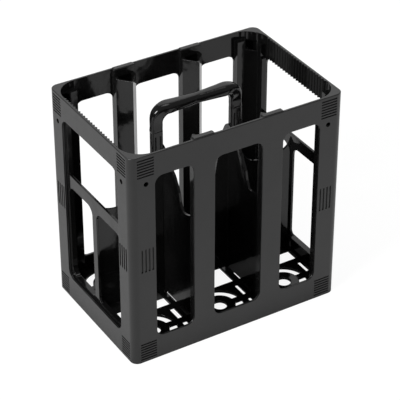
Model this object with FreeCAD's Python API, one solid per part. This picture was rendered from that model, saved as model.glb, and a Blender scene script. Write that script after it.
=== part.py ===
import FreeCAD, Part
import math
import os
from FreeCAD import Vector

# Bottle crate for six bottles in two rows of three, moulded in one piece.
# Millimetres, +Z up, origin in the middle of the footprint on the surface it stands on.
# The crate is symmetrical, so most features are made in the +X +Y quarter and mirrored.

# Outer box, without the stacking pads
length = 300.0
width = 200.0
height = 300.0
corner_radius = 10.0
rim_round = 1.0

# Wall thicknesses
skin = 3.0
column_wall = 2.6
inner_wall = 3.0
floor_thickness = 4.0

# Cross walls and the upright pillars in front of them
cell_pitch = 96.5
pillar_width = 28.5
column_return = 11.0
vee_depth = 18.0
column_drop = 11.0
vee_mouth_width = 19.0

# Windows in the long sides
window_sill = 32.5
window_head = 32.5
window_radius = 11.0
side_post_width = 33.5

# Openings in the short sides
end_sill = 33.0
end_head = 30.0
end_post_width = 31.0
end_radius = 12.0
lip_depth = 4.5
bar_overlap = 0.5
ledge_step = 3.5

# Bars that divide each short side, set back from the outer face
bar_thickness = 3.0
crossbar_top = 190.0
crossbar_depth = 17.0
upright_width = 10.0
low_window_top_radius = 12.0
low_window_foot_radius = 8.0

# Corner columns
column_chamfer = 13.0
chamfer_angle = 45.0
corner_mouth_width = 15.0
corner_mouth_depth = 12.0
corner_mouth_reach = 9.0
corner_mouth_lead = 1.0

# Rim: inner corner gussets, stacking pads and finger ribs
gusset_radius = 30.0
gusset_depth = 12.0
pad_length = 30.0
pad_rise = 1.2
pad_slope = 1.6
pad_width = 6.0
pad_setback = 1.4
rib_pitch = 6.0
rib_width = 3.6
rib_height = 2.0
rib_span = 130.0

# Carrying handle and its legs
leg_width = 15.4
leg_depth = 8.6
leg_step = 0.75
leg_round = 2.0
handle_drop = 4.5
arch_run = 12.5
bend_outer_radius = 20.0
bend_inner_radius = 10.0
grip_end_height = 15.0
grip_end_depth = 20.0
grip_middle_height = 12.0
grip_middle_depth = 14.0
channel_width = 2.0
channel_depth = 1.4
channel_spacing = 7.0
channel_foot = 196.0
channel_top = 252.0
grip_roundness = 0.93
run_steps = 2
bend_steps = 4
grip_steps = 5

# Tops of the inner walls
long_wall_height = 167.5
long_wall_shoulder = 214.0
long_wall_shoulder_rise = 12.0
long_wall_flare = 5.0
long_wall_flare_rise = 10.0
long_wall_middle = 107.0
cross_wall_peak = 236.0
cross_wall_height = 166.0
crown_step = 8.0
crown_drop = 6.0
shoulder_rise = 43.0
shoulder_reach = 44.5
shoulder_step = 7.0
shoulder_brow = 10.0
shoulder_turn = 12.0
shoulder_fall = 18.0
dip_reach = 20.5
dip_step = 7.0
dip_rise = 8.0
dip_turn = 8.0
dip_curl = 1.0
underpass_height = 18.0
underpass_radius = 3.0
underpass_reach = 41.0

# Floor grid, carried inside the skirt
floor_level = 5.0
seat_hole_radius = 9.5
seat_ring_inner = 20.5
seat_ring_outer = 31.5
spoke_width = 7.0
frame_width = 5.0
middle_slot_width = 46.5
middle_bar_width = 7.0
seat_back = 38.5
seat_band_reach = 38.0

# Grip grooves and round holes on the outer faces
groove_depth = 1.2
groove_width = 1.9
groove_pitch = 3.8
groove_count = 7
groove_margin = 1.0
upright_groove_pitch = 5.0
upright_groove_width = 2.4
upright_groove_count = 4
upright_groove_height = 33.0
upright_groove_level = 152.5
tie_hole_diameter = 6.3
tie_hole_drop = 39.0

# Distance below which two places count as the same
tolerance = 1e-6

# Places worked out from the sizes above
half_length = length / 2
half_width = width / 2
pillar_x = cell_pitch / 2
window_top = height - window_head
side_post_x = half_length - side_post_width
end_post_y = half_width - end_post_width
end_top = height - end_head
column_top = height - column_drop
column_x = half_length - column_return
column_y = half_width - column_return
floor_top = floor_level + floor_thickness
bar_outer_x = half_length - lip_depth + bar_overlap
bar_inner_x = bar_outer_x - bar_thickness
leg_inner_x = pillar_x + leg_step
leg_x = leg_inner_x + leg_width / 2
arch_top = height - handle_drop
arch_start = arch_top - grip_end_height - bend_inner_radius - arch_run
inside_x = half_length - skin
inside_y = half_width - skin
bury = skin / 2
seat_y = half_width - skin - seat_back


def point(plane, u, v, offset):
    if plane == "xy":
        return Vector(u, v, offset)
    if plane == "xz":
        return Vector(u, offset, v)
    return Vector(offset, u, v)


def push(plane, distance):
    return point(plane, 0, 0, distance)


def block(x0, x1, y0, y1, z0, z1):
    return Part.makeBox(x1 - x0, y1 - y0, z1 - z0, Vector(x0, y0, z0))


def rounded_slab(plane, u0, u1, v0, v1, radii, near, far):
    # A rectangle with its own radius at each corner, pushed from near to far
    corners = ((u0, v0, 1, 1), (u1, v0, -1, 1), (u1, v1, -1, -1), (u0, v1, 1, -1))
    edges = []
    ends = []
    for index, (u, v, inward_u, inward_v) in enumerate(corners):
        radius = radii[index]
        if radius == 0:
            ends.append((point(plane, u, v, near), point(plane, u, v, near)))
            continue
        on_v_side = point(plane, u, v + inward_v * radius, near)
        on_u_side = point(plane, u + inward_u * radius, v, near)
        sag = radius * (1 - math.sqrt(0.5))
        middle = point(plane, u + inward_u * sag, v + inward_v * sag, near)
        start, end = (on_v_side, on_u_side) if index % 2 == 0 else (on_u_side, on_v_side)
        edges.append(Part.Arc(start, middle, end).toShape())
        ends.append((start, end))
    for index in range(4):
        start = ends[index][1]
        end = ends[(index + 1) % 4][0]
        if start.distanceToPoint(end) > tolerance:
            edges.append(Part.makeLine(start, end))
    wire = Part.Wire(Part.__sortEdges__(edges))
    return Part.Face(wire).extrude(push(plane, far - near))


def plan_slab(half_x, half_y, radius, z0, z1):
    return rounded_slab("xy", -half_x, half_x, -half_y, half_y, (radius,) * 4, z0, z1)


def polygon_slab(plane, points, near, far):
    ring = [point(plane, u, v, near) for u, v in points]
    ring.append(ring[0])
    return Part.Face(Part.makePolygon(ring)).extrude(push(plane, far - near))


def curved_slab(plane, stretches, near, far):
    # Each stretch is a straight line of two points or a smooth curve through more
    edges = []
    for stretch in stretches:
        points = [point(plane, u, v, near) for u, v in stretch]
        if len(points) == 2:
            edges.append(Part.makeLine(points[0], points[1]))
            continue
        curve = Part.BSplineCurve()
        curve.interpolate(points)
        edges.append(curve.toShape())
    return Part.Face(Part.Wire(edges)).extrude(push(plane, far - near))


def flipped(shape, axis):
    return shape.mirror(Vector(0, 0, 0), axis)


def both_ends(shape):
    return [shape, flipped(shape, Vector(1, 0, 0))]


def both_sides(shape):
    return [shape, flipped(shape, Vector(0, 1, 0))]


def four_ways(shape):
    return [copy for end in both_ends(shape) for copy in both_sides(end)]


def outer_skin():
    outer = plan_slab(half_length, half_width, corner_radius, 0, height)
    top_edges = [edge for edge in outer.Edges if edge.BoundBox.ZMin > height - tolerance]
    outer = outer.makeFillet(rim_round, top_edges)
    inner = plan_slab(inside_x, inside_y, corner_radius - skin, 0, height)
    openings = long_windows() + end_openings() + tie_holes()
    return outer.cut([inner] + openings + outer_grooves())


def long_windows():
    spans = [(-pillar_x + pillar_width / 2, pillar_x - pillar_width / 2)]
    spans.append((pillar_x + pillar_width / 2, side_post_x))
    spans.append((-side_post_x, -pillar_x - pillar_width / 2))
    radii = (window_radius,) * 4
    return [
        rounded_slab("xz", left, right, window_sill, window_top, radii, -half_width, half_width)
        for left, right in spans
    ]


def end_openings():
    radii = (end_radius,) * 4
    return [
        rounded_slab(
            "yz", -end_post_y, end_post_y, end_sill, end_top, radii, -half_length, half_length
        )
    ]


def spaced(count, pitch):
    return [(index - (count - 1) / 2) * pitch for index in range(count)]


def groove_patch(plane, start, end, face, level):
    # Short grooves one above the other, across the flat of the post
    half = groove_width / 2
    return [
        rounded_slab(
            plane, start, end, level + rise - half, level + rise + half, (0,) * 4,
            face - groove_depth, face + groove_depth,
        )
        for rise in spaced(groove_count, groove_pitch)
    ]


def upright_patch(plane, centre, face):
    # Upright grooves side by side at half height
    half = upright_groove_width / 2
    low = upright_groove_level - upright_groove_height / 2
    high = upright_groove_level + upright_groove_height / 2
    return [
        rounded_slab(
            plane, centre + step - half, centre + step + half, low, high, (0,) * 4,
            face - groove_depth, face + groove_depth,
        )
        for step in spaced(upright_groove_count, upright_groove_pitch)
    ]


def outer_grooves():
    grooves = []
    long_face = ("xz", side_post_x, half_length - corner_radius, half_width)
    short_face = ("yz", end_post_y, half_width - corner_radius, half_length)
    for plane, start, end, face in (long_face, short_face):
        low = window_sill / 2
        high = height - window_head / 2
        first = start + groove_margin
        for level in (low, high):
            grooves += groove_patch(plane, first, end, face, level)
        grooves += upright_patch(plane, (start + end) / 2, face)
    return [copy for groove in grooves for copy in four_ways(groove)]


def tie_holes():
    radius = tie_hole_diameter / 2
    level = height - tie_hole_drop
    long_hole_x = (side_post_x + half_length - corner_radius) / 2
    short_hole_y = (end_post_y + half_width - corner_radius) / 2
    along_y = Part.makeCylinder(
        radius, width, Vector(long_hole_x, -half_width, level), Vector(0, 1, 0)
    )
    along_x = Part.makeCylinder(
        radius, length, Vector(-half_length, short_hole_y, level), Vector(1, 0, 0)
    )
    return both_ends(along_y) + both_sides(along_x)


def vee_column():
    # Hollow column behind a pillar: two flanges and two facets that meet on the cross wall
    half = pillar_width / 2
    apex_y = column_y - vee_depth
    lean = vee_depth / half
    inner_half = half - column_wall
    inner_apex_y = apex_y + column_wall * math.sqrt(1 + lean * lean)
    inner_flange_y = inner_apex_y + inner_half * lean
    back_y = half_width - bury
    outline = [
        (pillar_x - half, back_y),
        (pillar_x - half, column_y),
        (pillar_x, apex_y),
        (pillar_x + half, column_y),
        (pillar_x + half, back_y),
    ]
    hollow = [
        (pillar_x - inner_half, half_width),
        (pillar_x - inner_half, inner_flange_y),
        (pillar_x, inner_apex_y),
        (pillar_x + inner_half, inner_flange_y),
        (pillar_x + inner_half, half_width),
    ]
    mouth_half = vee_mouth_width / 2
    mouth = [
        (pillar_x - mouth_half, inside_y - column_wall),
        (pillar_x - mouth_half, inner_apex_y + mouth_half * lean),
        (pillar_x, inner_apex_y),
        (pillar_x + mouth_half, inner_apex_y + mouth_half * lean),
        (pillar_x + mouth_half, inside_y - column_wall),
    ]
    cap_under = column_top - column_wall
    column = polygon_slab("xy", outline, floor_level, column_top)
    column = column.cut(polygon_slab("xy", hollow, floor_level, cap_under))
    return column.cut(polygon_slab("xy", mouth, cap_under, column_top))


def corner_column():
    # Hollow column in each corner, with a chamfered face towards the bottle
    slip = column_wall * math.tan(math.radians(chamfer_angle / 2))
    back_x = half_length - bury
    back_y = half_width - bury
    outline = [
        (side_post_x, back_y),
        (side_post_x, column_y),
        (column_x - column_chamfer, column_y),
        (column_x, column_y - column_chamfer),
        (column_x, end_post_y),
        (back_x, end_post_y),
        (back_x, half_width - corner_radius),
        (half_length - corner_radius, back_y),
    ]
    hollow = [
        (side_post_x + column_wall, half_width),
        (side_post_x + column_wall, column_y + column_wall),
        (column_x - column_chamfer + slip, column_y + column_wall),
        (column_x + column_wall, column_y - column_chamfer + slip),
        (column_x + column_wall, end_post_y + column_wall),
        (half_length, end_post_y + column_wall),
        (half_length, half_width),
    ]
    column = polygon_slab("xy", outline, floor_level, column_top)
    column = column.cut(polygon_slab("xy", hollow, floor_level, column_top - column_wall))
    return column.cut(corner_mouth())


def corner_mouth():
    # Notch that opens the top of a corner column behind its chamfered face
    middle_x = column_x - column_chamfer / 2
    middle_y = column_y - column_chamfer / 2
    mouth = block(
        -corner_mouth_lead, corner_mouth_reach, -corner_mouth_width / 2, corner_mouth_width / 2,
        column_top - corner_mouth_depth, column_top,
    )
    mouth.rotate(Vector(0, 0, 0), Vector(0, 0, 1), chamfer_angle)
    mouth.translate(Vector(middle_x, middle_y, 0))
    return mouth


def rim_gussets():
    # Rounded inner corners of the rim, cored out from below
    foot = height - gusset_depth
    solid = plan_slab(half_length - bury, half_width - bury, corner_radius - bury, foot, height)
    opening = plan_slab(inside_x, inside_y, gusset_radius, foot, height)
    core = plan_slab(inside_x, inside_y, corner_radius - skin, foot, height - skin)
    arc_wall = plan_slab(
        inside_x + column_wall, inside_y + column_wall, gusset_radius + column_wall,
        foot, height - skin,
    )
    return solid.cut([opening, core.cut(arc_wall)])


def stacking_pads():
    # Low pads with sloping ends above the pillars, which carry the skirt of a crate on top
    half = pad_length / 2
    top = height + pad_rise
    face_y = half_width - pad_setback
    back_y = face_y - pad_width
    outline = [
        (pillar_x - half, column_top),
        (pillar_x + half, column_top),
        (pillar_x + half, height),
        (pillar_x + half - pad_slope, top),
        (pillar_x - half + pad_slope, top),
        (pillar_x - half, height),
    ]
    return four_ways(polygon_slab("xz", outline, back_y, face_y))


def finger_ribs():
    # Upright ribs on the inner face of the short rims
    count = int(rib_span / rib_pitch) + 1
    ribs = []
    for centre in spaced(count, rib_pitch):
        profile = [
            (inside_x + bury, centre - rib_width / 2),
            (inside_x, centre - rib_width / 2),
            (inside_x - rib_height, centre),
            (inside_x, centre + rib_width / 2),
            (inside_x + bury, centre + rib_width / 2),
        ]
        ribs += both_ends(polygon_slab("xy", profile, end_top, height))
    return ribs


def end_ring(half_y, foot, top, outer_x, inner_x, wall):
    # One step of the frame around a short side's opening: two jambs and a sill
    radius = end_radius
    outside = rounded_slab(
        "yz", -half_y - wall, half_y + wall, foot - wall, top, (radius + wall, radius + wall, 0, 0),
        inner_x, outer_x,
    )
    inside = rounded_slab("yz", -half_y, half_y, foot, top, (radius, radius, 0, 0), inner_x, outer_x)
    return outside.cut(inside)


def end_frame():
    # A lip from the outer face, a step inwards and an inner lip
    inner_half = end_post_y - ledge_step
    inner_foot = end_sill + ledge_step
    step_x = half_length - lip_depth
    lip = end_ring(end_post_y, end_sill, end_top, half_length - bury, step_x, column_wall)
    step = end_ring(
        inner_half, inner_foot, end_top, step_x, step_x - column_wall, ledge_step + column_wall
    )
    inner_lip = end_ring(
        inner_half, inner_foot, end_top, step_x - column_wall, column_x, column_wall
    )
    return [lip, step, inner_lip]


def end_bars():
    # Recessed crossbar and upright that divide a short side
    half_y = end_post_y - ledge_step + bury
    foot = end_sill + ledge_step
    plate = block(bar_inner_x, bar_outer_x, -half_y, half_y, foot - bury, crossbar_top)
    radii = (
        low_window_foot_radius, low_window_foot_radius,
        low_window_top_radius, low_window_top_radius,
    )
    low_window = rounded_slab(
        "yz", upright_width / 2, end_post_y - ledge_step, foot, crossbar_top - crossbar_depth,
        radii, bar_inner_x, bar_outer_x,
    )
    return plate.cut(both_sides(low_window))


def central_wall():
    # Lengthwise wall through the legs, low under the grip and flared up at its ends
    half = inner_wall / 2
    start_x = leg_inner_x + leg_width - bury
    end_x = bar_inner_x + bury
    flare_x = end_x - long_wall_flare
    run = flare_x - start_x
    dip = long_wall_height
    flare_z = dip + long_wall_flare_rise
    outer_top = [
        (start_x, long_wall_shoulder),
        (start_x + run / 8, dip + long_wall_shoulder_rise),
        (start_x + run / 4, dip + long_wall_flare_rise / 3),
        (start_x + run / 2, dip),
        (start_x + run * 3 / 4, dip),
        (flare_x, flare_z),
    ]
    outer = curved_slab(
        "xz",
        [
            outer_top,
            [(flare_x, flare_z), (end_x, crossbar_top)],
            [(end_x, crossbar_top), (end_x, floor_level)],
            [(end_x, floor_level), (start_x, floor_level)],
            [(start_x, floor_level), (start_x, long_wall_shoulder)],
        ],
        -half, half,
    )
    inner_x = leg_inner_x + bury
    low = long_wall_middle
    rise = cross_wall_peak - low

    # The curve under the grip, as shares of the way to the leg and of the rise
    right = [
        (inner_x * 0.20, low + rise * 0.02),
        (inner_x * 0.38, low + rise * 0.11),
        (inner_x * 0.55, low + rise * 0.40),
        (inner_x * 0.73, low + rise * 0.76),
        (inner_x, cross_wall_peak),
    ]
    left = [(-x, z) for x, z in reversed(right)]
    middle = curved_slab(
        "xz",
        [
            left + [(0, low)] + right,
            [(inner_x, cross_wall_peak), (inner_x, floor_level)],
            [(inner_x, floor_level), (-inner_x, floor_level)],
            [(-inner_x, floor_level), (-inner_x, cross_wall_peak)],
        ],
        -half, half,
    )
    reach = pillar_x - inner_wall
    radii = (0, 0, underpass_radius, underpass_radius)
    underpass = rounded_slab(
        "xz", -reach, reach, floor_level, underpass_height, radii, -half, half
    )
    return both_ends(outer) + [middle.cut(underpass)]


def cross_wall():
    # Wall from the crossing to the pillar, stepped down like a shoulder
    half = inner_wall / 2
    end_y = column_y - vee_depth + bury
    low = cross_wall_height
    shoulder_y = end_y - shoulder_reach
    shoulder_z = low + shoulder_rise
    dip_y = end_y - dip_reach
    end_z = low + dip_step
    top = [
        (0, cross_wall_peak),
        (crown_step, cross_wall_peak - crown_drop),
        (2 * crown_step, shoulder_z + shoulder_step),
        (shoulder_y, shoulder_z),
        (shoulder_y + shoulder_step, shoulder_z - shoulder_brow),
        (shoulder_y + shoulder_turn, shoulder_z - shoulder_fall),
        (dip_y - dip_step, low + dip_rise),
        (dip_y, low),
        (dip_y + dip_turn, low + dip_curl),
        (end_y, end_z),
    ]
    wall = curved_slab(
        "yz",
        [
            top,
            [(end_y, end_z), (end_y, floor_level)],
            [(end_y, floor_level), (0, floor_level)],
            [(0, floor_level), (0, cross_wall_peak)],
        ],
        pillar_x - half, pillar_x + half,
    )
    radii = (0, 0, underpass_radius, underpass_radius)
    underpass = rounded_slab(
        "yz", leg_depth / 2, underpass_reach, floor_level, underpass_height, radii,
        pillar_x - half, pillar_x + half,
    )
    return wall.cut(underpass)


def grip_section(centre, outward, half_height, half_depth, roundness):
    # Closed outline with round corners; a roundness near one makes it an oval
    radius = min(half_height, half_depth) * roundness
    sag = radius * (1 - math.sqrt(0.5))

    def at(across, along):
        return centre + outward * across + Vector(0, along, 0)

    corners = ((1, 1), (-1, 1), (-1, -1), (1, -1))
    arcs = []
    for index, (up, side) in enumerate(corners):
        tall = at(up * half_height, side * (half_depth - radius))
        deep = at(up * (half_height - radius), side * half_depth)
        middle = at(up * (half_height - sag), side * (half_depth - sag))
        arcs.append((tall, middle, deep) if index % 2 == 0 else (deep, middle, tall))
    edges = []
    for index, (start, middle, end) in enumerate(arcs):
        edges.append(Part.Arc(start, middle, end).toShape())
        edges.append(Part.makeLine(end, arcs[(index + 1) % 4][0]))
    return Part.Wire(edges)


def blend(start, end, share):
    return start + (end - start) * share


def arch_stations():
    # Sections from the top of a leg, around the bend and to the middle of the grip
    outer_x = leg_inner_x + leg_width
    under = arch_top - grip_end_height
    bend_outer = Vector(outer_x - bend_outer_radius, 0, arch_top - bend_outer_radius)
    bend_inner = Vector(leg_inner_x - bend_inner_radius, 0, under - bend_inner_radius)
    half_width_of_leg = leg_width / 2
    half_depth_of_leg = leg_depth / 2
    leg_roundness = leg_round / half_depth_of_leg
    level = Vector(1, 0, 0)
    stations = []
    for step in range(run_steps):
        middle = Vector(leg_x, 0, blend(arch_start, bend_inner.z, step / run_steps))
        stations.append((middle, level, half_width_of_leg, half_depth_of_leg, leg_roundness))
    for step in range(bend_steps + 1):
        share = step / bend_steps
        angle = share * math.pi / 2
        outward = Vector(math.cos(angle), 0, math.sin(angle))
        outer_point = bend_outer + outward * bend_outer_radius
        inner_point = bend_inner + outward * bend_inner_radius
        across = outer_point - inner_point
        half_height = across.Length / 2
        half_depth = blend(leg_depth, grip_end_depth, share) / 2
        roundness = blend(leg_roundness, grip_roundness, share)
        middle = (outer_point + inner_point) * 0.5
        stations.append((middle, across.normalize(), half_height, half_depth, roundness))
    grip_start = stations[-1][0].x
    for step in range(1, grip_steps + 1):
        share = step / grip_steps
        half_height = blend(grip_end_height, grip_middle_height, share) / 2
        half_depth = blend(grip_end_depth, grip_middle_depth, share) / 2
        middle = Vector(grip_start * (1 - share), 0, arch_top - grip_end_height / 2)
        stations.append((middle, Vector(0, 0, 1), half_height, half_depth, grip_roundness))
    return stations


def handle():
    half = arch_stations()
    mirrored = []
    for middle, outward, half_height, half_depth, roundness in reversed(half[:-1]):
        mirrored.append(
            (Vector(-middle.x, 0, middle.z), Vector(-outward.x, 0, outward.z),
             half_height, half_depth, roundness)
        )
    sections = [grip_section(*station) for station in half + mirrored]
    return Part.makeLoft(sections, True, False)


def leg():
    # Upright from the floor to the arch, with two channels in each broad face
    outer_x = leg_inner_x + leg_width
    half = leg_depth / 2
    body = rounded_slab(
        "xy", leg_inner_x, outer_x, -half, half, (leg_round,) * 4, floor_level, arch_start
    )
    channels = []
    for step in spaced(2, channel_spacing):
        channel = block(
            leg_x + step - channel_width / 2, leg_x + step + channel_width / 2,
            half - channel_depth, half, channel_foot, channel_top,
        )
        channels += both_sides(channel)
    return body, channels


def seat_cells():
    # Middle and half width of each compartment in the +Y row
    outer_edge = pillar_x + inner_wall / 2
    outer_x = (outer_edge + inside_x) / 2
    outer_half = (inside_x - outer_edge) / 2
    inner_half = pillar_x - inner_wall / 2
    return [(0, inner_half), (outer_x, outer_half), (-outer_x, outer_half)]


def floor_block(x0, x1, y0, y1):
    return block(x0, x1, y0, y1, floor_level, floor_top)


def ring_gap(centre, inner, outer):
    # The gap between two rings of the floor, left closed along the spokes
    gap = Part.makeCylinder(outer, floor_thickness, centre)
    half = spoke_width / 2
    along_x = floor_block(centre.x - outer, centre.x + outer, centre.y - half, centre.y + half)
    along_y = floor_block(centre.x - half, centre.x + half, centre.y - outer, centre.y + outer)
    return gap.cut([Part.makeCylinder(inner, floor_thickness, centre), along_x, along_y])


def side_slots(centre, half_x):
    # Straight openings between the band around a seat and the walls of its compartment
    near_y = middle_slot_width / 2 + middle_bar_width
    far_y = inside_y - frame_width
    half = spoke_width / 2
    reach = half_x - frame_width / 2
    slots = []
    for start_y, end_y in ((near_y, centre.y - half), (centre.y + half, far_y)):
        for start_x, end_x in ((-reach, -seat_band_reach), (seat_band_reach, reach)):
            slots.append(floor_block(centre.x + start_x, centre.x + end_x, start_y, end_y))
    return slots


def floor_grid():
    plate = plan_slab(
        half_length - bury, half_width - bury, corner_radius - bury, floor_level, floor_top
    )
    openings = []
    for middle_x, half_x in seat_cells():
        centre = Vector(middle_x, seat_y, floor_level)
        reach = half_x - frame_width / 2
        openings.append(Part.makeCylinder(seat_hole_radius, floor_thickness, centre))
        openings.append(ring_gap(centre, seat_ring_inner, seat_ring_outer))
        openings += side_slots(centre, half_x)
        openings.append(
            floor_block(middle_x - reach, middle_x + reach, 0, middle_slot_width / 2)
        )
    return plate.cut([copy for opening in openings for copy in both_sides(opening)])


def crate():
    body, channels = leg()
    middle = handle().fuse(both_ends(body))
    middle = middle.cut([copy for channel in channels for copy in both_ends(channel)])
    columns = four_ways(vee_column()) + four_ways(corner_column())
    rim = [rim_gussets()] + stacking_pads() + finger_ribs()
    walls = central_wall() + four_ways(cross_wall())
    frames = [copy for piece in end_frame() + [end_bars()] for copy in both_ends(piece)]
    whole = outer_skin().fuse(rim)
    whole = whole.fuse(frames + columns)
    whole = whole.fuse([floor_grid()] + walls + [middle])
    return whole.removeSplitter()


os.makedirs("parts", exist_ok=True)
shape = crate()
print("solids", len(shape.Solids), "valid", shape.isValid(), "volume", round(shape.Volume))
shape.exportStep("parts/crate.step")
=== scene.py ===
import math
import bmesh
import bpy
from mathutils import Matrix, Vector


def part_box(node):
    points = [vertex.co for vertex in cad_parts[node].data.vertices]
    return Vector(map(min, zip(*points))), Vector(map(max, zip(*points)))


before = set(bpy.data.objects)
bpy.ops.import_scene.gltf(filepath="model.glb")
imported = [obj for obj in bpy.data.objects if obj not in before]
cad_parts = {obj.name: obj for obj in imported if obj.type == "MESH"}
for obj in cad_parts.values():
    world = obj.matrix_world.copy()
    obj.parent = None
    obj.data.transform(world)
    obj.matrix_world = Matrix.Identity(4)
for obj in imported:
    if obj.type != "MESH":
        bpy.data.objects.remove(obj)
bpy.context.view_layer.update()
print("frame loaded")


# Node trees: sums are written as Python expressions on Signal values

class Signal:
    def __init__(self, tree, socket):
        self.tree = tree
        self.socket = socket

    def node(self, kind, settings=None, inputs=None, output=0):
        return addNode(self.tree, kind, settings, inputs, output)

    def sum(self, operation, *terms):
        return self.node("ShaderNodeMath", {"operation": operation}, dict(enumerate(terms)))

    def __add__(self, other):
        return self.sum("ADD", self, other)

    def __radd__(self, other):
        return self.sum("ADD", other, self)

    def __sub__(self, other):
        return self.sum("SUBTRACT", self, other)

    def __rsub__(self, other):
        return self.sum("SUBTRACT", other, self)

    def __mul__(self, other):
        return self.sum("MULTIPLY", self, other)

    def __rmul__(self, other):
        return self.sum("MULTIPLY", other, self)

    def __pow__(self, other):
        return self.sum("POWER", self, other)

    def __abs__(self):
        return self.sum("ABSOLUTE", self)

    def atLeast(self, other):
        return self.sum("MAXIMUM", self, other)

    def atMost(self, other):
        return self.sum("MINIMUM", self, other)

    def between(self, low, high):
        # 0 below low, 1 above high and a soft step in between
        settings = {"interpolation_type": "SMOOTHSTEP", "clamp": True}
        limits = {"Value": self, "From Min": low, "From Max": high}
        return self.node("ShaderNodeMapRange", settings, limits)

    def reaches(self, edge):
        # 1 from just short of an edge onwards, in metres
        return self.between(edge - 0.0006, edge - 0.0002)


def addNode(tree, kind, settings=None, inputs=None, output=0):
    node = tree.nodes.new(kind)
    for name, value in (settings or {}).items():
        setattr(node, name, value)
    for key, value in (inputs or {}).items():
        if isinstance(value, Signal):
            tree.links.new(value.socket, node.inputs[key])
        else:
            node.inputs[key].default_value = value
    return Signal(tree, node.outputs[output])


def splitVector(tree, vector):
    parts = addNode(tree, "ShaderNodeSeparateXYZ", {}, {0: vector}).socket.node
    return [Signal(tree, socket) for socket in parts.outputs]


def newTree(owner):
    owner.use_nodes = True
    owner.node_tree.nodes.clear()
    return owner.node_tree


def endTree(tree, kind, surface):
    output = tree.nodes.new(kind)
    tree.links.new(surface.socket, output.inputs["Surface"])


def mixColour(factor, first, second):
    # Sockets 6 and 7 are the two colours, and output 2 the mixed one
    return factor.node("ShaderNodeMix", {"data_type": "RGBA"}, {0: factor, 6: first, 7: second}, 2)


def mixValue(factor, first, second):
    return first + factor * (second - first)


# The crate's plastic

cratePlastic = {
    "colour": (0.0018, 0.0018, 0.0019, 1),
    "paleColour": (0.0042, 0.0041, 0.0042, 1),  # where the resin looks a little greyer
    "scuffColour": (0.060, 0.060, 0.062, 1),
    "shadeColour": (0.0022, 0.0022, 0.0021, 1),  # painted shade: a dark dull finish in the grip grooves and inside
    "outerRoughness": 0.42,  # fine spark-eroded texture outside
    "innerRoughness": 0.10,  # polished mould core inside
    "roughnessSpread": 0.08,
    "scuffRoughness": 0.25,
    "shadeRoughness": 0.9,
    "cloudSize": 0.060,
    "streakSize": 0.008,
    "scratchSize": 0.0025,
    "grainSize": 0.00045,
    "grainDepth": 0.000035,
    "waveSize": 0.030,
    "outerWave": 0.00015,
    "innerWave": 0.00060,  # sink marks and flow lines on the polished inside
    "edgeRadius": 0.0007,  # soft round that the shading gives every edge
    "wearRadius": 0.00112,  # how far from an edge it looks worn
    "wearAmount": 0.30,  # along the outer edges
    "scratchAmount": 0.25,  # on the flat outer faces
    "innerShade": 0.33,  # share of the inside given the painted shade, which keeps it from shining
    "ribShade": 0.70,  # and more painted shade between the finger ribs
}
crateShape = {
    "cornerRadius": 0.010,
    "outerDepth": 0.0018,  # what lies less deep below the face counts as outside
    "outerFade": 0.0006,
    "rimHeight": 0.300,
    "rimRound": 0.0010,
    "footMargin": 0.0010,  # the lowest part of the skirt, which has no grooves
    "postX": 0.1165,  # inner edges of the corner posts
    "postY": 0.0690,
    "grooveMargin": 0.0010,  # from a post's inner edge to its grooves
    "grooveDepth": 0.0012,
    "grooveMouth": 0.0001,  # depth at which a groove starts to look dark
    "ribX": 0.1450,  # crests of the finger ribs
    "ribFoot": 0.2700,
}


def noise(tree, place, size, detail=2.0, roughness=0.5):
    return addNode(
        tree, "ShaderNodeTexNoise", {},
        {"Vector": place, "Scale": 1 / size, "Detail": detail, "Roughness": roughness},
    )


def wallDepth(x, y):
    # How far a point lies below the face of the outer wall
    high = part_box("crate")[1]
    radius = crateShape["cornerRadius"]
    beyondX = (abs(x) - (high[0] - radius)).atLeast(0.0)
    beyondY = (abs(y) - (high[1] - radius)).atLeast(0.0)
    return radius - (beyondX * beyondX + beyondY * beyondY) ** 0.5


def outerMask(depth, z):
    # 1 on the outside of the skin and on the top of the rim, 0 on what faces inwards
    start = crateShape["outerDepth"]
    side = 1 - depth.between(start, start + crateShape["outerFade"])
    return side.atLeast(z.reaches(crateShape["rimHeight"]))


def grooveMask(tree, depth, x, y, z):
    # 1 in the grip grooves of the corner posts, where the painted shade goes, except on the floors
    # of those in the long sides
    groove = crateShape["grooveDepth"]
    margin = crateShape["grooveMargin"]
    mouth = crateShape["grooveMouth"]
    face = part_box("crate")[1][1]
    post = abs(x).reaches(crateShape["postX"] + margin)
    post = post * abs(y).reaches(crateShape["postY"] + margin)
    top = crateShape["rimHeight"] - crateShape["rimRound"]
    flank = z.reaches(crateShape["footMargin"]) * (1 - z.reaches(top))
    below = depth.between(mouth, mouth * 1.6) * (1 - depth.between(groove * 1.05, groove * 1.2))
    normal = addNode(tree, "ShaderNodeNewGeometry", {}, {}, "True Normal")
    floor = abs(splitVector(tree, normal)[1]) * abs(y).reaches(face - groove)
    return post * flank * below * (1 - floor.between(0.6, 0.9))


def ribMask(x, z):
    # 1 among the finger ribs on the inner face of the short rims
    return abs(x).reaches(crateShape["ribX"]) * z.reaches(crateShape["ribFoot"])


def edgeMask(tree, radius):
    # How far the rounded normal turns from the flat one: high along edges
    rounded = addNode(tree, "ShaderNodeBevel", {"samples": 6}, {"Radius": radius})
    flat = addNode(tree, "ShaderNodeNewGeometry", {}, {}, "Normal")
    facing = addNode(
        tree, "ShaderNodeVectorMath", {"operation": "DOT_PRODUCT"}, {0: rounded, 1: flat}, "Value"
    )
    return (1 - facing).between(0.01, 0.25)


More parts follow.
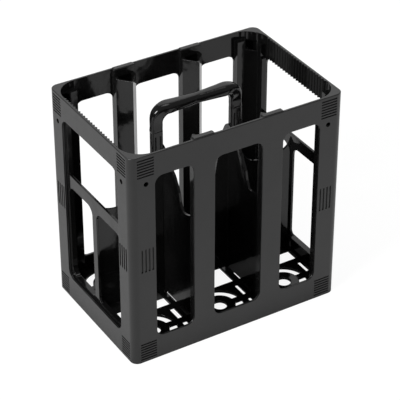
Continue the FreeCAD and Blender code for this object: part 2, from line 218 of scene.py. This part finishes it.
def makePlastic(look):
    material = bpy.data.materials.new("cratePlastic")
    tree = newTree(material)
    place = addNode(tree, "ShaderNodeTexCoord", {}, {}, "Object")
    x, y, z = splitVector(tree, place)

    depth = wallDepth(x, y)
    outside = outerMask(depth, z)
    cloud = noise(tree, place, look["cloudSize"], 4.0)
    streak = noise(tree, place, look["streakSize"], 5.0, 0.65)
    scratch = noise(tree, place, look["scratchSize"], 3.0, 0.7)
    edges = edgeMask(tree, look["wearRadius"])

    worn = edges * outside * streak.between(0.45, 0.75) * look["wearAmount"]
    rubbed = outside * scratch.between(0.66, 0.82) * cloud.between(0.45, 0.7)
    scuffs = (worn + rubbed * look["scratchAmount"]).atMost(1.0)

    colour = mixColour(cloud.between(0.3, 0.7), look["colour"], look["paleColour"])
    colour = mixColour(scuffs, colour, look["scuffColour"])

    roughness = mixValue(outside, look["innerRoughness"], look["outerRoughness"])
    roughness = roughness + (streak - 0.5) * look["roughnessSpread"]
    roughness = roughness + scuffs * look["scuffRoughness"]

    grain = noise(tree, place, look["grainSize"])
    wave = noise(tree, place, look["waveSize"])
    waveDepth = mixValue(outside, look["innerWave"], look["outerWave"])
    height = grain * outside * look["grainDepth"] + wave * waveDepth
    rounded = addNode(tree, "ShaderNodeBevel", {"samples": 6}, {"Radius": look["edgeRadius"]})
    normal = addNode(
        tree, "ShaderNodeBump", {},
        {"Strength": 1.0, "Distance": 1.0, "Height": height, "Normal": rounded},
    )

    plastic = addNode(
        tree, "ShaderNodeBsdfPrincipled", {},
        {"Base Color": colour, "Roughness": roughness, "IOR": 1.5, "Normal": normal},
    )
    # Painted shade: a near-black, dull, weakly shining finish that stands in for the shade in the
    # grooves and the dimmer reflections inside
    shadeFinish = addNode(
        tree, "ShaderNodeBsdfPrincipled", {},
        {
            "Base Color": look["shadeColour"],
            "Roughness": look["shadeRoughness"],
            "Specular IOR Level": 0.1,
        },
    )
    # The painted shade goes on the grip grooves, on part of the inside and more between the finger
    # ribs
    inner = (1 - outside) * mixValue(ribMask(x, z), look["innerShade"], look["ribShade"])
    shadeShare = grooveMask(tree, depth, x, y, z).atLeast(inner)
    surface = addNode(tree, "ShaderNodeMixShader", {}, {0: shadeShare, 1: plastic, 2: shadeFinish})
    endTree(tree, "ShaderNodeOutputMaterial", surface)
    return material


def dressCrate():
    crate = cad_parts["crate"]
    material = makePlastic(cratePlastic)
    for slot in crate.material_slots:
        slot.material = material
    print("crate dressed")


# Studio: white floor and room, soft lamps and the camera

studio = {
    "floorSize": 12.0,
    "floorColour": (0.86, 0.86, 0.86, 1),
    "floorGlow": 0.86,  # share of plain white that the camera and reflections see in the floor
    "floorWhite": 1.06,  # strength of that white
    "underReach": 0.05,  # how far past the crate's foot its dim reflection of the floor fades out
    "worldLight": 0.35,
    "worldShine": 0.28,  # brightness of the room in reflections
    "worldWhite": 1.0,  # brightness behind the object, as the camera sees it
    "lampAim": (0, 0, 0.15),
}
lamps = {
    "key": {"place": (-1.7, -0.5, 1.3), "size": 0.7, "power": 43.0},
    "top": {"place": (0.2, 0.1, 2.2), "size": 1.0, "power": 8.0},
    "back": {"place": (0.9, 1.8, 1.3), "size": 2.6, "power": 20.0},
}
camera = {
    "azimuth": -31.299,
    "elevation": 33.765,
    "distance": 2.268111,
    "target": (0.0, -0.009354, 0.14298),
    "focalPixels": 1795.404,
    "framePixels": 400,
    "sensor": 36.0,
    "nearClip": 0.05,
    "farClip": 50.0,
}


def lightPaths(tree):
    # Whether the camera looks straight at a surface, or by way of a reflection or a clear piece
    seen = addNode(tree, "ShaderNodeLightPath", {}, {}, "Is Camera Ray")
    paths = seen.socket.node.outputs
    glossy = Signal(tree, paths["Is Glossy Ray"])
    clear = Signal(tree, paths["Is Transmission Ray"])
    return seen, glossy.atLeast(clear)


def makeFloor():
    shape = bmesh.new()
    bmesh.ops.create_grid(shape, x_segments=1, y_segments=1, size=studio["floorSize"] / 2)
    mesh = bpy.data.meshes.new("floor")
    shape.to_mesh(mesh)
    shape.free()
    floor = bpy.data.objects.new("floor", mesh)
    bpy.context.scene.collection.objects.link(floor)

    material = bpy.data.materials.new("floorPaper")
    tree = newTree(material)
    seen, mirrored = lightPaths(tree)
    paper = addNode(tree, "ShaderNodeBsdfDiffuse", {}, {"Color": studio["floorColour"]})
    white = {"Color": (1, 1, 1, 1), "Strength": studio["floorWhite"]}
    glow = addNode(tree, "ShaderNodeEmission", {}, white)
    place = addNode(tree, "ShaderNodeTexCoord", {}, {}, "Object")
    x, y = splitVector(tree, place)[:2]
    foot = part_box("crate")[1]
    past = (abs(x) - foot[0]).atLeast(abs(y) - foot[1])
    clear = past.between(0.0, studio["underReach"])
    share = seen.atLeast(mirrored * clear) * studio["floorGlow"]
    surface = addNode(tree, "ShaderNodeMixShader", {}, {0: share, 1: paper, 2: glow})
    endTree(tree, "ShaderNodeOutputMaterial", surface)
    mesh.materials.append(material)
    print("floor laid")


def makeWorld():
    world = bpy.data.worlds.new("whiteStudio")
    bpy.context.scene.world = world
    tree = newTree(world)
    seen, mirrored = lightPaths(tree)
    levels = [
        addNode(tree, "ShaderNodeBackground", {}, {"Color": (1, 1, 1, 1), "Strength": studio[name]})
        for name in ("worldLight", "worldShine", "worldWhite")
    ]
    surface = addNode(tree, "ShaderNodeMixShader", {}, {0: mirrored, 1: levels[0], 2: levels[1]})
    surface = addNode(tree, "ShaderNodeMixShader", {}, {0: seen, 1: surface, 2: levels[2]})
    endTree(tree, "ShaderNodeOutputWorld", surface)
    print("room made")


def makeLamps():
    aim = Vector(studio["lampAim"])
    for name, lamp in lamps.items():
        data = bpy.data.lights.new(name, "AREA")
        data.size = lamp["size"]
        data.energy = lamp["power"]
        holder = bpy.data.objects.new(name, data)
        holder.location = lamp["place"]
        holder.rotation_euler = (aim - Vector(lamp["place"])).to_track_quat("-Z", "Y").to_euler()
        bpy.context.scene.collection.objects.link(holder)
    print("lamps placed")


def makeCamera():
    azimuth = math.radians(camera["azimuth"])
    elevation = math.radians(camera["elevation"])
    back = Vector((
        math.sin(azimuth) * math.cos(elevation),
        -math.cos(azimuth) * math.cos(elevation),
        math.sin(elevation),
    ))
    data = bpy.data.cameras.new("photoCamera")
    data.sensor_width = camera["sensor"]
    data.lens = camera["focalPixels"] * camera["sensor"] / camera["framePixels"]
    data.clip_start = camera["nearClip"]
    data.clip_end = camera["farClip"]
    holder = bpy.data.objects.new("photoCamera", data)
    holder.location = Vector(camera["target"]) + back * camera["distance"]
    holder.rotation_euler = (-back).to_track_quat("-Z", "Y").to_euler()
    bpy.context.scene.collection.objects.link(holder)
    bpy.context.scene.camera = holder
    print("camera placed")


dressCrate()
makeFloor()
makeWorld()
makeLamps()
makeCamera()
bpy.context.scene.view_settings.view_transform = "Standard"
